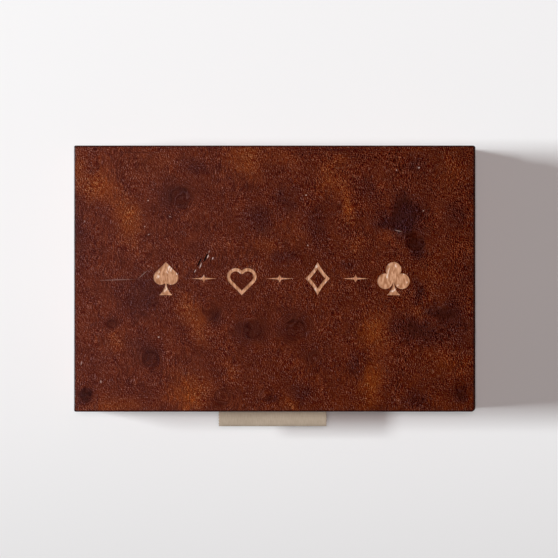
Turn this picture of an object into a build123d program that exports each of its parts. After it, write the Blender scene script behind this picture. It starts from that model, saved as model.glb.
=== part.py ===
from build123d import *
import os
from math import cos, radians, sin, tan

# A box for two decks of playing cards, laid side by side, with a lid hinged along the back.
# Millimetres. X runs left to right, Y from front to back, Z up. The origin is the middle of the
# felt that the box stands on. The box is worked out from the cards outwards.

# The decks and the free space around them
card_width = 63.5
card_length = 88.9
side_room = 1.0
end_room = 0.95

# Walls, from the inside out, and the block between the two decks
lining_thickness = 0.8
core_thickness = 7.6
veneer_thickness = 0.6
divider_thickness = 15.0

# Heights, from the table up
felt_thickness = 1.0
bottom_panel_thickness = 3.0
floor_pad_thickness = 1.2
base_height = 20.0
seam_gap = 0.3
lid_height = 11.7
top_panel_thickness = 3.2
ceiling_pad_thickness = 1.2

# How far pieces are set in or down from their neighbours
felt_inset = 2.0
rebate_width = 3.6
panel_play = 0.1
pad_play = 0.3
pad_edge_radius = 0.3
ceiling_pad_margin = 1.3
lining_drop = 1.0
divider_drop = 2.5

# Rounding of the outside: every edge, and how much more each upright corner is rubbed down
edge_radius = 0.5
back_left_rub = 0.1
front_left_rub = 0.2
back_right_rub = 0.5
front_right_rub = 1.3
seam_ease = 0.25
foot_ease = 0.3

# The half-round cut in the divider that lets a finger in beside each deck
scoop_length = 30.0
scoop_depth = 10.5
scoop_mouth_radius = 3.0
divider_edge_radius = 0.8

# Butt hinges, let into the rims of the back walls
hinge_from_side = 22.0
hinge_length = 24.0
hinge_inset = 2.2
barrel_radius = 1.9
knuckle_count = 5
knuckle_gap = 0.16
knuckle_clearance = 0.15
leaf_width = 5.0
leaf_thickness = 1.0
mortise_play = 0.15
barrel_clearance = 0.25
pin_radius = 0.8
pin_play = 0.05
pin_head_radius = 1.25
pin_head_thickness = 0.4
pin_end_play = 0.3
lid_opening = 95.0
stop_margin = 1.0

# Countersunk screws, two in each leaf
screw_spacing = 14.0
screw_setback = 3.3
screw_head_radius = 1.1
screw_head_height = 0.5
screw_shank_radius = 0.6
screw_length = 6.0
screw_tip_length = 1.4
screw_play = 0.05
slot_width = 0.35
slot_depth = 0.3

# Disc magnets in the front rims
magnet_from_side = 26.0
magnet_radius = 2.5
magnet_thickness = 2.0
magnet_play = 0.05
magnet_sink = 0.05

# The folded ribbon that the lid is lifted by
ribbon_width = 44.5
ribbon_offset = -0.9
ribbon_thickness = 0.4
ribbon_reach = 6.5
ribbon_fold_height = 1.7
ribbon_side_play = 0.3
ribbon_play = 0.1

# The four card suits cut into the lid's veneer, with a tapered rule in each space between them
suit_size = 13.5
suit_pitch = 31.0
suit_row_offset = 2.0
suit_depth = 0.25
suit_line = 1.3
diamond_width = 10.0
rule_length = 11.0
rule_height = 0.9
lozenge_width = 2.0
lozenge_height = 3.2

# The suits' proportions, as shares of their height
blade_share = 0.84
heart_sides = 1.914  # a square on its corner with two half discs on it is this many of its sides high
stem_foot = 0.2
stem_neck = 0.035
stem_waist = 0.056
stem_waist_height = 0.6
club_leaf = 0.235
club_leaf_spread = 0.254
club_leaf_drop = 0.08
club_heart = 0.13
club_heart_rise = 0.06
bow_in = 0.9  # how far a diamond's sides are pulled in, where 1 would leave them straight

# Worked out from the values above
compartment_width = card_width + 2 * side_room
compartment_length = card_length + 2 * end_room
inner_width = divider_thickness + 2 * (compartment_width + lining_thickness)
inner_depth = compartment_length + 2 * lining_thickness
side_thickness = core_thickness + veneer_thickness
box_width = inner_width + 2 * side_thickness
box_depth = inner_depth + 2 * side_thickness

bottom_top = felt_thickness + bottom_panel_thickness
lid_rim = base_height + seam_gap
lid_top = lid_rim + lid_height
top_panel_top = lid_top - veneer_thickness
ceiling = top_panel_top - top_panel_thickness
past = 1.0  # how far a cutting block runs past the face that it cuts
nearly = 0.01  # how close two coordinates are when they count as the same

hinge_x = box_width / 2 - hinge_from_side - hinge_length / 2
hinge_y = box_depth / 2 - hinge_inset
hinge_z = base_height + seam_gap / 2
groove_angle = (lid_opening + stop_margin) / 2
magnet_x = box_width / 2 - magnet_from_side
magnet_y = -(inner_depth + core_thickness) / 2
notch_height = 2 * ribbon_thickness + 2 * ribbon_play

# Signs: left and right of the middle, and below and above the seam
LEFT, RIGHT = -1, 1
SIDES = {"left": LEFT, "right": RIGHT}
BASE, LID = -1, 1
LEVELS = {"base": BASE, "lid": LID}
RIMS = {BASE: base_height, LID: lid_rim}
corner_radii = {
    (LEFT, -1): edge_radius + front_left_rub,
    (RIGHT, -1): edge_radius + front_right_rub,
    (LEFT, 1): edge_radius + back_left_rub,
    (RIGHT, 1): edge_radius + back_right_rub,
}


# Small helpers
def block(x_range, y_range, z_range):
    """A box between three pairs of coordinates."""
    size = [high - low for low, high in (x_range, y_range, z_range)]
    middle = [(low + high) / 2 for low, high in (x_range, y_range, z_range)]
    return Pos(*middle) * Box(*size)


def centred_block(width, depth, low, high):
    """A box centred on the Z axis, between two heights."""
    return block((-width / 2, width / 2), (-depth / 2, depth / 2), (low, high))


def rod(radius, x_low, x_high):
    """A round bar on the X axis."""
    return Pos((x_low + x_high) / 2, 0, 0) * Rot(0, 90, 0) * Cylinder(radius, x_high - x_low)


def along_x(profile, x_low, x_high):
    """A profile drawn in Y and Z, made solid between two values of X."""
    standing = Plane(origin=(x_low, 0, 0), x_dir=(0, 1, 0), z_dir=(1, 0, 0)) * profile
    return extrude(standing, amount=x_high - x_low, dir=(1, 0, 0))


def outline(inset):
    """The outside of the box seen from above, set in evenly, with its four corners rounded."""
    face = Sketch() + Rectangle(box_width - 2 * inset, box_depth - 2 * inset)
    for (x_sign, y_sign), radius in corner_radii.items():
        if radius > inset:
            corner = face.vertices().sort_by(lambda v: v.X * x_sign + v.Y * y_sign)[-1]
            face = fillet(corner, radius - inset)
    return face


def envelope(low, high, inset):
    """A solid of the box's outline between two heights."""
    return extrude(Pos(0, 0, low) * outline(inset), amount=high - low)


def split_at_mitres(ring):
    """The front, back, left and right quarters of a ring of wall, mitred at its corners."""
    outer_x, outer_y = box_width / 2 + past, box_depth / 2 + past
    reach = side_thickness + lining_thickness + 2 * past
    inner_x, inner_y = outer_x - reach, outer_y - reach
    quarters = {
        "front": [(-outer_x, -outer_y), (outer_x, -outer_y), (inner_x, -inner_y), (-inner_x, -inner_y)],
        "back": [(-outer_x, outer_y), (outer_x, outer_y), (inner_x, inner_y), (-inner_x, inner_y)],
        "left": [(-outer_x, -outer_y), (-outer_x, outer_y), (-inner_x, inner_y), (-inner_x, -inner_y)],
        "right": [(outer_x, -outer_y), (outer_x, outer_y), (inner_x, inner_y), (inner_x, -inner_y)],
    }
    pieces = {}
    for name, corners in quarters.items():
        wedge = extrude(make_face(Polyline(*corners, close=True)), amount=lid_top + past)
        pieces[name] = ring & wedge
    return pieces


# Cuts that the base and the lid share
def back_groove(level):
    """Half of the V groove along the back, where the lid meets the base when it stands open."""
    rim = RIMS[level]
    run = hinge_inset + past
    far = rim + level * run * tan(radians(groove_angle))
    open_side = rim - level * past
    corners = [(hinge_y, rim), (hinge_y + run, far), (hinge_y + run, open_side), (hinge_y, open_side)]
    section = make_face(Polyline(*corners, close=True))
    return along_x(section, -box_width / 2 - past, box_width / 2 + past)


def screw_places():
    """The places of a leaf's screws, seen from the middle of its pin."""
    return [Pos(side * screw_spacing / 2, -screw_setback, 0) for side in SIDES.values()]


def hinge_cuts(level):
    """What one hinge takes out of a back wall: the leaf's mortise, room for the barrel, screw holes."""
    face = seam_gap / 2
    half = hinge_length / 2 + mortise_play
    heights = sorted((level * (face + leaf_thickness), level * (face - past)))
    cuts = block((-half, half), (-leaf_width - mortise_play, 0), heights)
    barrel_half = hinge_length / 2 + pin_play + pin_head_thickness + pin_end_play
    cuts += rod(barrel_radius + barrel_clearance, -barrel_half, barrel_half)
    depth = screw_length + 2 * screw_play
    hole = Pos(0, 0, level * (face + depth / 2)) * Cylinder(screw_shank_radius + screw_play, depth)
    for place in screw_places():
        cuts += place * hole
    return cuts


def magnet(side, level, grown=0.0):
    """One disc magnet, or with some growth the hole for it, opening at the rim it is let into."""
    rim = RIMS[level]
    mouth = rim + level * (magnet_sink - (past if grown else 0))
    end = rim + level * (magnet_sink + magnet_thickness)
    disc = Cylinder(magnet_radius + grown, abs(end - mouth))
    return Pos(side * magnet_x, magnet_y, (mouth + end) / 2) * disc


def fitted(ring, level):
    """A ring of wall with everything cut from it for hinges and magnets."""
    ring -= back_groove(level)
    for side in SIDES.values():
        ring -= Pos(side * hinge_x, hinge_y, hinge_z) * hinge_cuts(level)
        ring -= magnet(side, level, magnet_play)
    return ring


# Base
def base_walls():
    """Four hardwood walls, mitred at the corners, with a step at the foot for the bottom panel."""
    ring = envelope(felt_thickness, base_height, veneer_thickness)
    ring -= centred_block(inner_width, inner_depth, 0, base_height + past)
    step = (inner_width + 2 * rebate_width, inner_depth + 2 * rebate_width)
    ring -= centred_block(*step, 0, bottom_top)
    return split_at_mitres(fitted(ring, BASE))


def base_veneers():
    """Four sheets of burl on the outside of the walls."""
    ring = envelope(felt_thickness, base_height, 0)
    ring = chamfer(ring.faces().sort_by(Axis.Z)[-1].edges(), seam_ease)
    ring = chamfer(ring.faces().sort_by(Axis.Z)[0].edges(), foot_ease)
    ring -= envelope(0, base_height + past, veneer_thickness)
    return split_at_mitres(fitted(ring, BASE))


def bottom_panel():
    """The thin board let into the foot of the walls."""
    grow = 2 * (rebate_width - panel_play)
    return centred_block(inner_width + grow, inner_depth + grow, felt_thickness, bottom_top)


def underside_felt():
    """The sheet of felt that the box stands on."""
    return envelope(0, felt_thickness, felt_inset)


def divider():
    """The block between the decks, with the finger scoop cut through it."""
    top = base_height - divider_drop
    radius = (scoop_length**2 / 4 + scoop_depth**2) / (2 * scoop_depth)
    side = Pos(0, (bottom_top + top) / 2) * Rectangle(inner_depth, top - bottom_top)
    side -= Pos(0, top + radius - scoop_depth) * Circle(radius)
    mouth = [v for v in side.vertices() if abs(v.Y - top) < nearly and abs(v.X) < inner_depth / 2 - past]
    side = fillet(mouth, scoop_mouth_radius)
    solid = along_x(side, -divider_thickness / 2, divider_thickness / 2)
    rims = [
        edge for edge in solid.faces().filter_by(Axis.X).edges()
        if edge.center().Z > bottom_top + past and abs(edge.center().Y) < inner_depth / 2 - nearly
    ]
    return fillet(rims, divider_edge_radius)


def floor_pad(side):
    """The suede-covered board under one deck."""
    x_near = divider_thickness / 2 + pad_play
    x_far = inner_width / 2 - lining_thickness - pad_play
    y_half = compartment_length / 2 - pad_play
    x_range = sorted((side * x_near, side * x_far))
    pad = block(x_range, (-y_half, y_half), (bottom_top, bottom_top + floor_pad_thickness))
    return fillet(pad.faces().sort_by(Axis.Z)[-1].edges(), pad_edge_radius)


def wall_linings(side):
    """Three suede-covered strips round one deck: front, back and outer side."""
    x_near, x_far = divider_thickness / 2, inner_width / 2 - lining_thickness
    y_far, y_near = inner_depth / 2, compartment_length / 2
    heights = (bottom_top, base_height - lining_drop)
    x_span = sorted((side * x_near, side * x_far))
    return {
        "front": block(x_span, (-y_far, -y_near), heights),
        "back": block(x_span, (y_near, y_far), heights),
        "side": block(sorted((side * x_far, side * inner_width / 2)), (-y_far, y_far), heights),
    }


# Lid
def lid_shell():
    """The outside of the lid as one block, with its top edges rounded over."""
    shell = envelope(lid_rim, lid_top, 0)
    shell = fillet(shell.faces().sort_by(Axis.Z)[-1].edges(), edge_radius)
    return chamfer(shell.faces().sort_by(Axis.Z)[0].edges(), seam_ease)


def ribbon_notch():
    """The shallow slot across the underside of the front rail that the ribbon runs in through."""
    half = ribbon_width / 2 + ribbon_side_play
    x_range = (ribbon_offset - half, ribbon_offset + half)
    y_range = (-box_depth / 2 - past, -inner_depth / 2 + past)
    return block(x_range, y_range, (lid_rim - past, lid_rim + notch_height))


def lid_rails():
    """Four hardwood rails, mitred at the corners, with a step at the top for the top panel."""
    ring = envelope(lid_rim, top_panel_top, veneer_thickness)
    ring -= centred_block(inner_width, inner_depth, 0, lid_top)
    step = (inner_width + 2 * rebate_width, inner_depth + 2 * rebate_width)
    ring -= centred_block(*step, ceiling, lid_top)
    return split_at_mitres(fitted(ring, LID) - ribbon_notch())


def lid_veneers():
    """Four sheets of burl on the outside of the rails."""
    ring = lid_shell() & centred_block(2 * box_width, 2 * box_depth, 0, top_panel_top)
    ring -= envelope(0, lid_top, veneer_thickness)
    return split_at_mitres(fitted(ring, LID) - ribbon_notch())


def top_panel():
    """The board let into the top of the rails, under the veneer."""
    grow = 2 * (rebate_width - panel_play)
    return centred_block(inner_width + grow, inner_depth + grow, ceiling, top_panel_top)


def ceiling_pad():
    """The suede-covered board inside the lid."""
    width, depth = inner_width - 2 * ceiling_pad_margin, inner_depth - 2 * ceiling_pad_margin
    pad = centred_block(width, depth, ceiling - ceiling_pad_thickness, ceiling)
    return fillet(pad.faces().sort_by(Axis.Z)[0].edges(), pad_edge_radius)


# The suits, drawn about their own middles, for a height of size
def stem(size):
    """The flared foot of the spade and the club, from their middle down."""
    foot, neck = size * stem_foot, size * stem_neck
    waist, waist_z = size * stem_waist, -size / 2 * stem_waist_height
    left = ThreePointArc((-neck, 0), (-waist, waist_z), (-foot, -size / 2))
    right = ThreePointArc((foot, -size / 2), (waist, waist_z), (neck, 0))
    sole = Line((-foot, -size / 2), (foot, -size / 2))
    top = Line((neck, 0), (-neck, 0))
    return make_face(Curve() + [left, sole, right, top])


def heart(size):
    """A square on its corner with a round lobe on each of its upper sides."""
    side = size / heart_sides
    middle = side * sin(radians(45)) - size / 2
    reach = side / 2 * cos(radians(45))
    figure = Sketch() + Pos(0, middle) * Rot(0, 0, 45) * Rectangle(side, side)
    for x_sign in SIDES.values():
        figure += Pos(x_sign * reach, middle + reach) * Circle(side / 2)
    return figure


def spade(size):
    """A heart turned over, on a stem."""
    blade = size * blade_share
    return Pos(0, (size - blade) / 2) * Rot(0, 0, 180) * heart(blade) + stem(size)


def club(size):
    """Three round leaves on a stem."""
    leaf = size * club_leaf
    figure = Sketch() + stem(size) + Pos(0, size / 2 - leaf) * Circle(leaf)
    for x_sign in SIDES.values():
        figure += Pos(x_sign * size * club_leaf_spread, -size * club_leaf_drop) * Circle(leaf)
    return figure + Pos(0, size * club_heart_rise) * Circle(size * club_heart)


def diamond(width, height):
    """Four points joined by sides that bow inwards a little."""
    points = [(0, height / 2), (width / 2, 0), (0, -height / 2), (-width / 2, 0)]
    sides = []
    for (x1, y1), (x2, y2) in zip(points, points[1:] + points[:1]):
        bowed = ((x1 + x2) / 2 * bow_in, (y1 + y2) / 2 * bow_in)
        sides.append(ThreePointArc((x1, y1), bowed, (x2, y2)))
    return make_face(Curve() + sides)


def outlined(figure):
    """Only a line of even width along a figure's edge."""
    return figure - offset(figure, -suit_line)


def suits():
    """The four suits in a row: the black ones solid and the red ones in outline."""
    red = [outlined(heart(suit_size)), outlined(diamond(diamond_width, suit_size))]
    figures = [spade(suit_size), *red, club(suit_size)]
    middle = (len(figures) - 1) / 2
    row = Sketch()
    for number, figure in enumerate(figures):
        row += Pos((number - middle) * suit_pitch, 0) * figure
    rule = diamond(rule_length, rule_height) + diamond(lozenge_width, lozenge_height)
    for number in range(len(figures) - 1):
        row += Pos((number - middle + 0.5) * suit_pitch, 0) * rule
    return row


def lid_top_veneer():
    """The burl sheet over the whole top, with the suits cut into it."""
    sheet = lid_shell() & centred_block(2 * box_width, 2 * box_depth, top_panel_top, lid_top + past)
    cut = Pos(suit_row_offset, 0, lid_top - suit_depth) * suits()
    return sheet - extrude(cut, amount=suit_depth + past)


# Ribbon
def ribbon_pull():
    """A ribbon folded in two: a flat loop in front, through the notch, and up the rail's inner face."""
    double = 2 * ribbon_thickness
    low = lid_rim + ribbon_play
    middle = low + double / 2
    front, inner = -box_depth / 2, -inner_depth / 2 + ribbon_play
    mouth = front - ribbon_play
    fold = ribbon_fold_height / 2
    fold_y = front - ribbon_reach + fold

    loop = make_hull(
        (Pos(fold_y, middle) * Circle(fold)).edges()
        + (Pos(mouth, middle) * Rectangle(ribbon_play, double)).edges()
    )
    hollow = make_hull(
        (Pos(fold_y, middle) * Circle(fold - ribbon_thickness)).edges()
        + (Pos(mouth - fold, middle) * Circle(ribbon_play / 2)).edges()
    )
    strip = Pos((mouth + inner + double) / 2, middle) * Rectangle(inner + double - mouth, double)
    tail_high = ceiling - ribbon_play
    tail = Pos(inner + double / 2, (low + tail_high) / 2) * Rectangle(double, tail_high - low)
    section = loop - hollow + strip + tail
    corner = section.vertices().sort_by(lambda v: v.X - v.Y)[-1]
    section = fillet(corner, double - ribbon_play)
    half = ribbon_width / 2
    return along_x(section, ribbon_offset - half, ribbon_offset + half)


# Hinges, each drawn with its pin on the X axis and its leaves towards -Y
def knuckle_spans(level):
    """Where one leaf's knuckles lie along the pin, in turn: the base leaf has the first and the last."""
    step = hinge_length / knuckle_count
    first = 0 if level == BASE else 1
    starts = [number * step - hinge_length / 2 for number in range(first, knuckle_count, 2)]
    return [(start, start + step) for start in starts]


def screw(level, grown=0.0):
    """A countersunk screw with its head on the leaf's face, pointing away from the seam."""
    stacked = (Align.CENTER, Align.CENTER, Align.MIN)
    head_radius, shank_radius = screw_head_radius + grown, screw_shank_radius + grown
    shank_length = screw_length - screw_head_height - screw_tip_length
    solid = Cone(head_radius, shank_radius, screw_head_height, align=stacked)
    solid += Pos(0, 0, screw_head_height) * Cylinder(shank_radius, shank_length, align=stacked)
    tip = Cone(shank_radius, screw_play, screw_tip_length, align=stacked)
    solid += Pos(0, 0, screw_head_height + shank_length) * tip
    if not grown:
        solid -= Box(2 * head_radius + past, slot_width, 2 * slot_depth)
    turned = Rot(0 if level == LID else 180, 0, 0)
    return Pos(0, 0, level * seam_gap / 2) * turned * solid


def hinge_leaf(level):
    """One leaf: a plate, its knuckles, room for the other leaf's knuckles, the bore and screw holes."""
    half = hinge_length / 2
    heights = sorted((level * seam_gap / 2, level * (seam_gap / 2 + leaf_thickness)))
    leaf = block((-half, half), (-leaf_width, 0), heights)
    for low, high in knuckle_spans(-level):
        leaf -= rod(barrel_radius + knuckle_clearance, low - knuckle_gap / 2, high + knuckle_gap / 2)
    for low, high in knuckle_spans(level):
        low += 0 if low < nearly - half else knuckle_gap / 2
        high -= 0 if high > half - nearly else knuckle_gap / 2
        leaf += rod(barrel_radius, low, high)
    leaf -= rod(pin_radius + pin_play, -half - past, half + past)
    for place in screw_places():
        leaf -= place * screw(level, screw_play)
    return leaf


def hinge_pin():
    """The pin, with a small peened head at each end."""
    end = hinge_length / 2 + pin_play
    pin = rod(pin_radius, -end, end)
    for low in (-end - pin_head_thickness, end):
        pin += rod(pin_head_radius, low, low + pin_head_thickness)
    return pin


def hinge_screws(level):
    """The two screws of one leaf, as separate solids."""
    return Compound([place * screw(level) for place in screw_places()])


# Every piece under its own name
def all_pieces():
    pieces = {
        "base_bottom_panel": bottom_panel(),
        "base_underside_felt": underside_felt(),
        "deck_divider": divider(),
        "lid_top_panel": top_panel(),
        "lid_top_veneer": lid_top_veneer(),
        "lid_ceiling_pad": ceiling_pad(),
        "ribbon_pull": ribbon_pull(),
    }
    for where, solid in base_walls().items():
        pieces[f"base_{where}_wall"] = solid
    for where, solid in base_veneers().items():
        pieces[f"base_{where}_veneer"] = solid
    for where, solid in lid_rails().items():
        pieces[f"lid_{where}_rail"] = solid
    for where, solid in lid_veneers().items():
        pieces[f"lid_{where}_veneer"] = solid
    for name, side in SIDES.items():
        pieces[f"{name}_floor_pad"] = floor_pad(side)
        for where, solid in wall_linings(side).items():
            pieces[f"{name}_deck_{where}_lining"] = solid
        hinge_place = Pos(side * hinge_x, hinge_y, hinge_z)
        pieces[f"{name}_hinge_pin"] = hinge_place * hinge_pin()
        for part, level in LEVELS.items():
            pieces[f"{name}_hinge_{part}_leaf"] = hinge_place * hinge_leaf(level)
            pieces[f"{name}_hinge_{part}_screws"] = hinge_place * hinge_screws(level)
            pieces[f"{part}_{name}_magnet"] = magnet(side, level)
    return pieces


os.makedirs("parts", exist_ok=True)
for name, solid in all_pieces().items():
    export_step(solid, f"parts/{name}.step")
print("outside", round(box_width, 2), "x", round(box_depth, 2), "x", round(lid_top, 2))
print("each deck has", round(compartment_width, 2), "x", round(compartment_length, 2))
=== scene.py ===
# %% [markdown]
# A card box in stained burl, seen from above
#
# This lesson dresses a finished CAD model: a hinged wooden box for two decks of playing cards.
# The model comes in at its real size, in metres, with each piece under its own name. The wood and
# the metal keep the shape that they have there and get a finish. The soft pieces, which are
# suede, felt and ribbon, are made again as meshes of their own.

# %% Bring in the model
import math

import bmesh
import bpy
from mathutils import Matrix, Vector


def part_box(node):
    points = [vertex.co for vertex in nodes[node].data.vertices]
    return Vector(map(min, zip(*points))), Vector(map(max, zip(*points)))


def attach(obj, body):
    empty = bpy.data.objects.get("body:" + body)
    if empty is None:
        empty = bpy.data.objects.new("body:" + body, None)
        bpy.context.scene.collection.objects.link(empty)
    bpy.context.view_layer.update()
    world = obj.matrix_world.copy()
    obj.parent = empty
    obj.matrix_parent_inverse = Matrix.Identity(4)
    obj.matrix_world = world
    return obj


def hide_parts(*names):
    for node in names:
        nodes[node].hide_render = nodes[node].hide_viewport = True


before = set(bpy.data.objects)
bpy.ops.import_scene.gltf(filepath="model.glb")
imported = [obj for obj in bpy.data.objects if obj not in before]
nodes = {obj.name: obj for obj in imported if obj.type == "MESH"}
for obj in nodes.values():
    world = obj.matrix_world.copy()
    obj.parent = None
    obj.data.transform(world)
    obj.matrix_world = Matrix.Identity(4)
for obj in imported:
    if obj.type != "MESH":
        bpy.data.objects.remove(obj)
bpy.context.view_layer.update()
MM = 0.001

# %% [markdown]
# The tool for every finish
#
# A finish is a small calculation that is done again at each point of a surface. It is kept as nodes
# and the wires between them, but it reads better as a formula. So this class wraps one output
# socket and lets plus, minus and times add the Math nodes. Any other node is added by one method,
# which takes the node's type, its settings and what goes into its sockets.


# %% A field is a number, colour or place that changes over a surface
class Field:
    """One output socket of a node. Arithmetic on fields adds Math nodes to their tree."""

    def __init__(self, tree, socket=None):
        self.tree = tree
        self.socket = socket

    def node(self, kind, settings=None, values=None, output=0):
        """Adds a node, sets it up, and fills its input sockets with numbers or other fields."""
        made = self.tree.nodes.new(kind)
        for name, setting in (settings or {}).items():
            if name == "stops":
                set_stops(made.color_ramp.elements, setting)
            else:
                setattr(made, name, setting)
        for key, value in (values or {}).items():
            if isinstance(value, Field):
                self.tree.links.new(value.socket, made.inputs[key])
            else:
                made.inputs[key].default_value = value
        return Field(self.tree, made.outputs[output])

    def math(self, operation, first, second=0.0):
        """Adds a Math node, which is for plain numbers."""
        return self.node("ShaderNodeMath", {"operation": operation}, {0: first, 1: second})

    def parts(self):
        """The x, y and z of a place, as three fields."""
        split = self.node("ShaderNodeSeparateXYZ", None, {0: self})
        return [Field(self.tree, output) for output in split.socket.node.outputs]

    def __add__(self, other):
        return self.math("ADD", self, other)

    def __sub__(self, other):
        return self.math("SUBTRACT", self, other)

    def __rsub__(self, other):
        return self.math("SUBTRACT", other, self)

    def __mul__(self, other):
        return self.math("MULTIPLY", self, other)

    def __abs__(self):
        return self.math("ABSOLUTE", self)

    __radd__ = __add__
    __rmul__ = __mul__


def set_stops(elements, stops):
    """Gives a colour ramp its stops, each a position and a colour."""
    while len(elements) < len(stops):
        elements.new(0.5)
    for element, (position, shade) in zip(elements, stops):
        element.position = position
        element.color = shade


# %% Colours as they are written and as light adds up
full_level = 255
toe_end, toe_slope = 0.04045, 12.92
bend_shift, bend_power = 0.055, 2.4


def colour(code):
    """A colour as an artist writes it, #RRGGBB, turned into the linear light that a shader adds up."""
    shades = []
    for start in (1, 3, 5):
        share = int(code[start:start + 2], 16) / full_level
        bent = ((share + bend_shift) / (1 + bend_shift)) ** bend_power
        shades.append(share / toe_slope if share <= toe_end else bent)
    return (*shades, 1.0)


print("a brown written #4A1A0F is", [round(share, 3) for share in colour("#4A1A0F")])

# %% Words that the finishes are written in
# The Mix node has sockets for numbers, places and colours. These are the ones for colours.
mix_low, mix_high, mix_result = 6, 7, 2
noise_middle = 0.5


def rise(value, low, high, top=1.0):
    """0 where value is at low, top where it is at high, and a soft curve between the two."""
    settings = {"interpolation_type": "SMOOTHSTEP"}
    values = {"Value": value, "From Min": low, "From Max": high, "To Max": top}
    return value.node("ShaderNodeMapRange", settings, values)


def clamped(value):
    """The value kept between 0 and 1."""
    return value.node("ShaderNodeClamp", None, {0: value})


def mixed(share, low, high):
    """The colour low where share is 0, the colour high where it is 1, and a blend between."""
    values = {"Factor": share, mix_low: low, mix_high: high}
    return share.node("ShaderNodeMix", {"data_type": "RGBA"}, values, output=mix_result)


def ramp(value, stops):
    """The colour that a list of stops has at this value."""
    return value.node("ShaderNodeValToRGB", {"stops": stops}, {0: value})


def vector(operation, first, second):
    """Vector maths on places and colours: ADD, SUBTRACT, MULTIPLY and their like."""
    return first.node("ShaderNodeVectorMath", {"operation": operation}, {0: first, 1: second})


def pressed(place):
    """The place with its height taken away, for figures that are drawn flat."""
    return vector("MULTIPLY", place, (1, 1, 0))


def noise(place, size, detail=2.0, roughness=0.5):
    """Soft random blotches about as wide as size, from 0 to 1 and mostly near a half."""
    values = {"Vector": place, "Scale": 1 / size, "Detail": detail, "Roughness": roughness}
    return place.node("ShaderNodeTexNoise", None, values)


def swing(place, size, detail=2.0):
    """The same blotches moved down by a half, so that they push a value both ways."""
    return noise(place, size, detail) - noise_middle


def wander(place, size, reach, detail=2.0):
    """The same place pushed about by up to reach, in bends about as wide as size."""
    values = {"Vector": place, "Scale": 1 / size, "Detail": detail}
    push = place.node("ShaderNodeTexNoise", None, values, output="Color")
    centred = vector("SUBTRACT", push, (noise_middle,) * 3)
    return vector("ADD", place, vector("MULTIPLY", centred, (2 * reach,) * 3))


# %% Starting a finish and putting it on
def start_finish(name):
    """A new material, its shader, and the place in millimetres to calculate with."""
    material = bpy.data.materials.new(name)
    material.use_nodes = True
    tree = material.node_tree
    shader = tree.nodes["Principled BSDF"]
    place = Field(tree).node("ShaderNodeTexCoord", output="Object")
    return material, shader, vector("MULTIPLY", place, (1 / MM,) * 3)


def feed(shader, socket, field):
    """Wires a field into one of the shader's sockets."""
    shader.id_data.links.new(field.socket, shader.inputs[socket])


def hold(shader, numbers):
    """Sets the numbers that are the same all over the surface, on the shader's own sockets."""
    for socket, number in numbers.items():
        shader.inputs[socket].default_value = number


def relief(height, depth):
    """Turns a height from 0 to 1 into the tilt of the surface, with depth in millimetres."""
    values = {"Height": height, "Distance": depth * MM}
    return height.node("ShaderNodeBump", None, values)


def dress(finish, *names):
    """Gives a finish to CAD pieces by name."""
    for name in names:
        for holder in nodes[name].material_slots:
            holder.material = finish


# %% [markdown]
# The burl
#
# Burl is a growth on a tree where the grain has no direction left. Cut into veneer it shows soft
# clouds, small eyes where buds once were, and a fine pepper of cut fibres. This box is stained
# mahogany red and lacquered satin. A photographed texture would be the quick way. A calculated
# one has no seams, no fixed resolution and no picture to carry, so it is used here.
#
# The large clouds of the lid are laid one by one, as a painter blocks in a picture: each is an oval,
# in millimetres from the middle of the lid, and noise makes its outline ragged. Most are soft, and
# a few dark ones have a sharper edge.

# %% The amber clouds of the lid
# Each has its middle in x and y, its half width and half height, its tilt in degrees and its weight.
amber_clouds = [
    (-72, 39, 8, 9, 0, 1.0),
    (-61, 25, 7, 14, 20, 1.0),
    (-81, 46, 5, 11, 0, 0.7),
    (-50, 45, 13, 10, 0, 0.3),
    (-12, 48, 11, 9, -20, 0.8),
    (5, 49, 10, 5, 0, 0.4),
    (22, 41, 7, 9, 20, 0.6),
    (29, 29, 3, 11, 15, 0.8),
    (-4, 14, 6, 5, 0, 0.5),
    (34, 13, 5, 5, 0, 0.4),
    (-34, -16, 6, 15, 32, 0.7),
    (-66, -24, 6, 6, 0, 0.6),
    (-35, -47, 11, 11, 20, 1.0),
    (-66, -52, 12, 6, 0, 0.7),
    (-18, -38, 4, 9, 30, 0.4),
    (7, -51, 5, 4, 0, 0.7),
    (41, -22, 8, 10, 0, 0.8),
    (39, -43, 6, 13, -10, 0.9),
    (60, -14, 5, 4, 0, 0.6),
    (63, 1, 5, 11, 0, 0.3),
    (71, 42, 6, 15, 0, 0.3),
    (70, -33, 14, 5, 0, 0.3),
    (45, 18, 6, 4, 0, 0.3),
    (8, 20, 8, 6, 0, 0.2),
    (26, 48, 8, 5, 0, 0.4),
]
print(len(amber_clouds), "amber clouds")

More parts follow.
